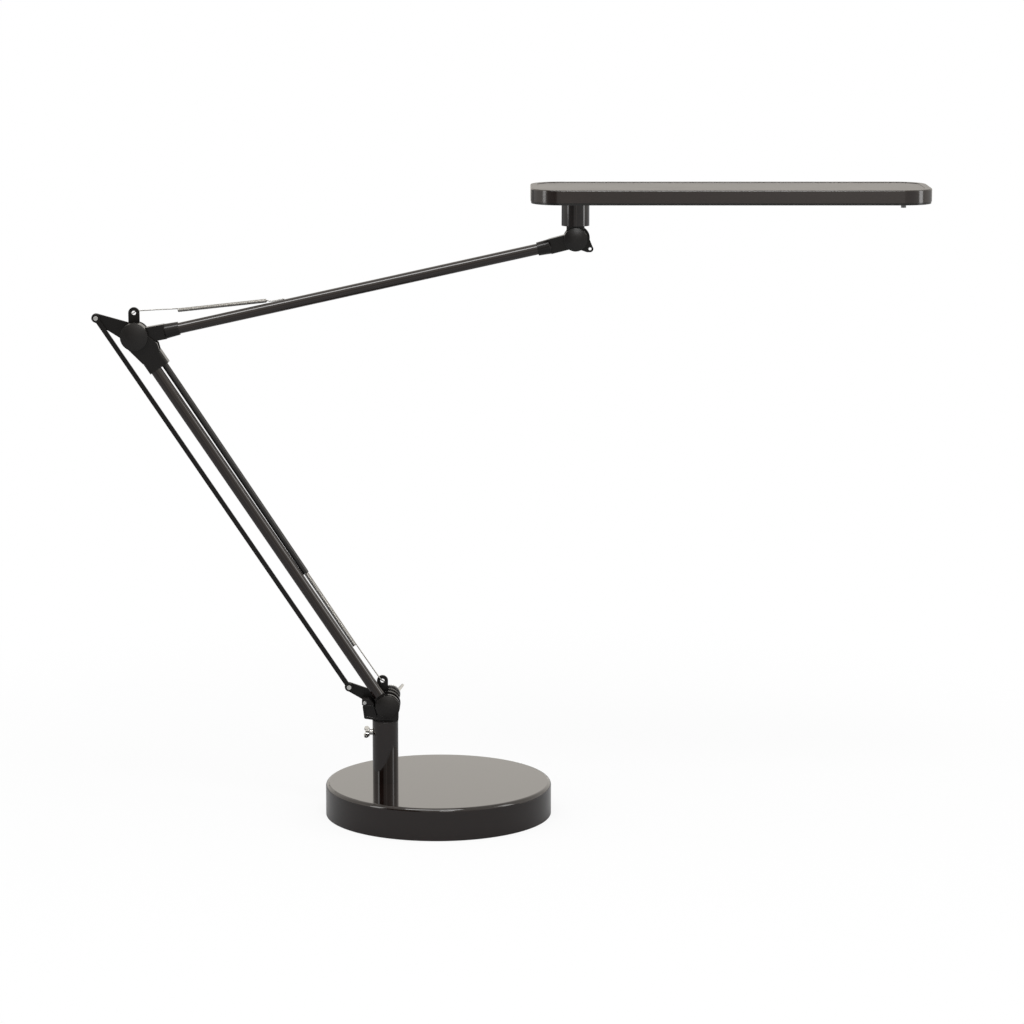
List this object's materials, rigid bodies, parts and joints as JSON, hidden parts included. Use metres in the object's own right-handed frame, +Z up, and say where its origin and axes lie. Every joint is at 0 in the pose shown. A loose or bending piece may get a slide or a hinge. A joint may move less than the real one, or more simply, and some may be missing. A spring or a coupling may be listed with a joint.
{
  "type": "desk lamp",
  "caption": "Spring-balanced desk lamp: round weighted base, two single-tube arms with a parallel link bar, and a flat swivelling light head.",
  "frame": {"origin": "centre of the base's underside, on the surface that the lamp stands on", "axes": "+Z up, +X along the head, away from the elbow, +Y to the back, along the pivots"},
  "size_m": [0.7269, 0.2, 0.5574],
  "materials": {
    "foam": "soft black foam",
    "black_sheet": "black painted sheet steel, semi gloss",
    "zinc_steel": "zinc plated",
    "cast_iron": "raw casting",
    "black_gloss": "black gloss lacquer on steel",
    "black_nylon": "matt",
    "chrome": "polished",
    "black_satin": "black satin lacquer on die casting",
    "black_cap": "satin",
    "black_sleeve": "smooth black sleeve",
    "spring_steel": "bright spring wire",
    "head_gloss": "black gloss",
    "head_bezel": "black gloss",
    "opal_acrylic": "opal, satin",
    "aluminium": "mill finish",
    "circuit_board": "white solder mask",
    "led_chip": "yellow phosphor lens",
    "grey_button": "satin grey"
  },
  "bodies": {
    "base": {"foot_pad": "foam", "bottom_plate": "black_sheet", "base_plate_screws": "zinc_steel", "base_weight": "cast_iron", "base_shell": "black_gloss", "post_tube": "black_gloss", "post_plug": "zinc_steel", "post_washer": "zinc_steel", "post_bolt": "zinc_steel", "post_bushing": "black_nylon"},
    "thumb_screw": {"thumb_screw": "chrome"},
    "swivel": {"swivel_spigot": "zinc_steel", "base_knuckle": "black_satin", "arm_stop": "black_nylon", "stop_screw": "chrome", "base_anchor_plate": "black_sheet", "base_pivot_cap": "black_cap", "base_pivot_bolt": "zinc_steel", "base_pivot_washer": "zinc_steel", "base_link_rivet": "zinc_steel"},
    "wing_nut": {"base_wing_nut": "chrome"},
    "lower_arm": {"lower_arm_foot": "black_satin", "lower_arm_tube": "black_gloss", "lower_arm_fork": "black_satin", "spring_sleeve": "black_sleeve", "lower_spring": "spring_steel"},
    "link": {"link_bar": "black_sheet"},
    "elbow_bracket": {"elbow_anchor_plate": "black_sheet", "elbow_cap": "black_cap", "elbow_washer": "zinc_steel", "elbow_nut": "zinc_steel", "elbow_bolt": "zinc_steel", "elbow_link_rivet": "zinc_steel"},
    "upper_arm": {"upper_arm_tongue": "black_satin", "upper_arm_tube": "black_gloss", "upper_arm_head_end": "black_satin", "upper_spring": "spring_steel"},
    "head_knuckle": {"head_knuckle": "black_satin", "head_joint_plate": "black_sheet", "head_joint_cap": "black_cap", "head_joint_washer": "zinc_steel", "head_joint_nut": "zinc_steel", "head_joint_bolt": "zinc_steel", "swivel_clip": "zinc_steel"},
    "head": {"head_collar": "black_gloss", "collar_bushing": "black_nylon", "collar_screws": "zinc_steel", "head_shell": "head_gloss", "head_bezel": "head_bezel", "diffuser": "opal_acrylic", "heat_spreader": "aluminium", "led_board": "circuit_board", "leds": "led_chip", "switch_housing": "black_nylon", "control_board": "circuit_board", "head_screws": "zinc_steel"},
    "switch_button": {"switch_button": "grey_button"}
  },
  "joints": [
    {"name": "post_swivel", "type": "hinge", "parent": "base", "child": "swivel", "pos_m": [-0.047, 0, 0.084], "axis": [0, 0, 1], "range_deg": [-170, 170]},
    {"name": "thumb_screw_turn", "type": "hinge", "parent": "base", "child": "thumb_screw", "pos_m": [-0.0584, 0, 0.0735], "axis": [-1, 0, 0], "range_deg": [-180, 60]},
    {"name": "lower_arm_tilt", "type": "hinge", "parent": "swivel", "child": "lower_arm", "pos_m": [-0.0446, 0, 0.0981], "axis": [0, 1, 0], "range_deg": [-12, 60], "deforming": ["lower_spring"]},
    {"name": "wing_nut_turn", "type": "hinge", "parent": "swivel", "child": "wing_nut", "pos_m": [-0.0446, 0.015, 0.0981], "axis": [0, 1, 0], "range_deg": [-30, 180]},
    {"name": "link_pivot", "type": "hinge", "parent": "swivel", "child": "link", "pos_m": [-0.0791, 0.0058, 0.1128], "axis": [0, 1, 0], "range_deg": [-12, 60]},
    {"name": "elbow_level", "type": "hinge", "parent": "lower_arm", "child": "elbow_bracket", "pos_m": [-0.26274, 0, 0.42704], "axis": [0, 1, 0], "range_deg": [-60, 12]},
    {"name": "upper_arm_tilt", "type": "hinge", "parent": "elbow_bracket", "child": "upper_arm", "pos_m": [-0.26274, 0, 0.42704], "axis": [0, 1, 0], "range_deg": [-60, 20], "deforming": ["upper_spring"]},
    {"name": "head_tilt", "type": "hinge", "parent": "upper_arm", "child": "head_knuckle", "pos_m": [0.1202, 0, 0.5118], "axis": [0, 1, 0], "range_deg": [-28, 75]},
    {"name": "head_swivel", "type": "hinge", "parent": "head_knuckle", "child": "head", "pos_m": [0.1202, 0, 0.5318], "axis": [0, 0, 1], "range_deg": [-90, 90]},
    {"name": "switch_press", "type": "slide", "parent": "head", "child": "switch_button", "axis": [0, 0, 1], "range_m": [0, 0.0012], "stiffness_N_per_m": 900, "springref_m": -0.0006}
  ],
  "couplings": [
    {"joint": "link_pivot", "follows": "lower_arm_tilt", "ratio": 1},
    {"joint": "elbow_level", "follows": "lower_arm_tilt", "ratio": -1}
  ]
}
